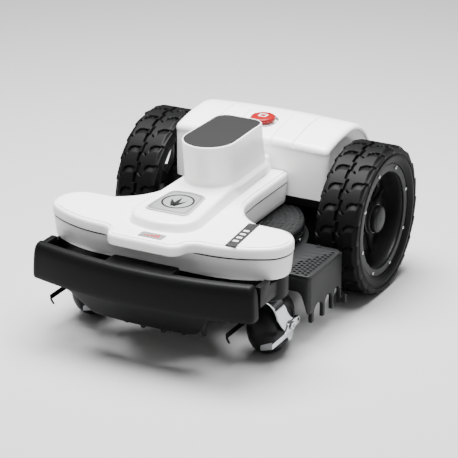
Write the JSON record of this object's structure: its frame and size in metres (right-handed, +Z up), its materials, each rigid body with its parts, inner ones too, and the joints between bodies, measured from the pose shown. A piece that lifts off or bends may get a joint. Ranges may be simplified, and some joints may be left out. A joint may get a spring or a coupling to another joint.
{
  "type": "robotic lawn mower",
  "caption": "Robotic lawn mower with large rear drive wheels, swivelling front casters, a sprung full-width bumper, covered blade drum and a hinged control hatch with stop button.",
  "frame": {"origin": "on the ground under the centre of the bounding box", "axes": "-Y towards the front bumper, +X to the machine's left side, +Z up"},
  "size_m": [0.508, 0.66, 0.337],
  "materials": {
    "white_shell": "glossy",
    "black_plastic": "satin",
    "deck_plastic": "matt, finely grained",
    "rubber": "matt",
    "tyre": "matt",
    "grey_panel": "satin",
    "silver_pad": "satin",
    "display_glass": "glossy",
    "stop_red": "glossy",
    "steel": "bright",
    "bumper_rubber": "matt",
    "motor_can": "satin",
    "blade_steel": "ground",
    "battery": "satin",
    "board": "satin",
    "contact_brass": "bright",
    "rim_plastic": "satin",
    "ring_metal": "satin",
    "fork_chrome": "polished"
  },
  "bodies": {
    "chassis": {"front_chassis": "black_plastic", "centre_beam": "black_plastic", "rear_chassis": "black_plastic", "lower_body": "white_shell", "front_cover": "white_shell", "signal_tower": "white_shell", "tower_panel": "grey_panel", "emblem_pad": "silver_pad", "status_badge": "silver_pad", "side_band": "grey_panel", "cover_latches": "black_plastic", "rear_shell": "white_shell", "rear_lid": "white_shell", "housing_end_caps": "white_shell", "keypad_panel": "grey_panel", "display_window": "display_glass", "bumper_springs": "rubber", "deck_drum": "deck_plastic", "motor_cradle": "deck_plastic", "deck_plate": "deck_plastic", "left_skirt": "deck_plastic", "right_skirt": "deck_plastic", "front_comb": "deck_plastic", "blade_motor": "motor_can", "battery_pack": "battery", "control_board": "board", "left_gear_motor": "motor_can", "right_gear_motor": "motor_can", "charge_contacts": "contact_brass", "deck_screws": "steel"},
    "hatch": {"control_hatch": "white_shell", "stop_bezel": "white_shell", "stop_spring": "steel"},
    "stop": {"stop_button": "stop_red"},
    "bumper": {"front_bumper": "bumper_rubber", "bumper_shield": "black_plastic", "bumper_guides": "steel"},
    "blade": {"blade_shaft": "steel", "blade_disc": "blade_steel", "blade_nut": "steel"},
    "left_wheel": {"left_tyre": "tyre", "left_rim": "rim_plastic", "left_rim_ring": "ring_metal", "left_ring_screws": "steel", "left_hub": "rim_plastic", "left_hub_cap": "ring_metal"},
    "left_swivel": {"left_fork": "fork_chrome", "left_caster_axle": "steel", "left_scrapers": "fork_chrome"},
    "left_roller": {"left_caster_wheel": "rubber"},
    "right_wheel": {"right_tyre": "tyre", "right_rim": "rim_plastic", "right_rim_ring": "ring_metal", "right_ring_screws": "steel", "right_hub": "rim_plastic", "right_hub_cap": "ring_metal"},
    "right_swivel": {"right_fork": "fork_chrome", "right_caster_axle": "steel", "right_scrapers": "fork_chrome"},
    "right_roller": {"right_caster_wheel": "rubber"}
  },
  "joints": [
    {"name": "left_wheel_spin", "type": "hinge", "parent": "chassis", "child": "left_wheel", "pos_m": [0, 0.1875, 0.1425], "axis": [1, 0, 0], "continuous": true},
    {"name": "left_caster_swivel", "type": "hinge", "parent": "chassis", "child": "left_swivel", "pos_m": [0.18, -0.1855, 0.12], "axis": [0, 0, 1], "continuous": true},
    {"name": "left_caster_spin", "type": "hinge", "parent": "left_swivel", "child": "left_roller", "pos_m": [0.18, -0.1495, 0.0595], "axis": [1, 0, 0], "continuous": true},
    {"name": "right_wheel_spin", "type": "hinge", "parent": "chassis", "child": "right_wheel", "pos_m": [0, 0.1875, 0.1425], "axis": [1, 0, 0], "continuous": true},
    {"name": "right_caster_swivel", "type": "hinge", "parent": "chassis", "child": "right_swivel", "pos_m": [-0.18, -0.1855, 0.12], "axis": [0, 0, 1], "continuous": true},
    {"name": "right_caster_spin", "type": "hinge", "parent": "right_swivel", "child": "right_roller", "pos_m": [-0.18, -0.1495, 0.0595], "axis": [1, 0, 0], "continuous": true},
    {"name": "blade_spin", "type": "hinge", "parent": "chassis", "child": "blade", "pos_m": [0, 0.0125, 0.06], "axis": [0, 0, 1], "continuous": true},
    {"name": "bumper_slide", "type": "slide", "parent": "chassis", "child": "bumper", "axis": [0, 1, 0], "range_m": [0, 0.008], "stiffness_N_per_m": 2000, "springref_m": -0.001},
    {"name": "hatch_hinge", "type": "hinge", "parent": "chassis", "child": "hatch", "pos_m": [0, 0.2115, 0.308], "axis": [-1, 0, 0], "range_deg": [0, 70]},
    {"name": "stop_press", "type": "slide", "parent": "hatch", "child": "stop", "axis": [0, 0, -1], "range_m": [0, 0.004], "stiffness_N_per_m": 600, "springref_m": -0.003, "deforming": ["stop_spring"]}
  ]
}
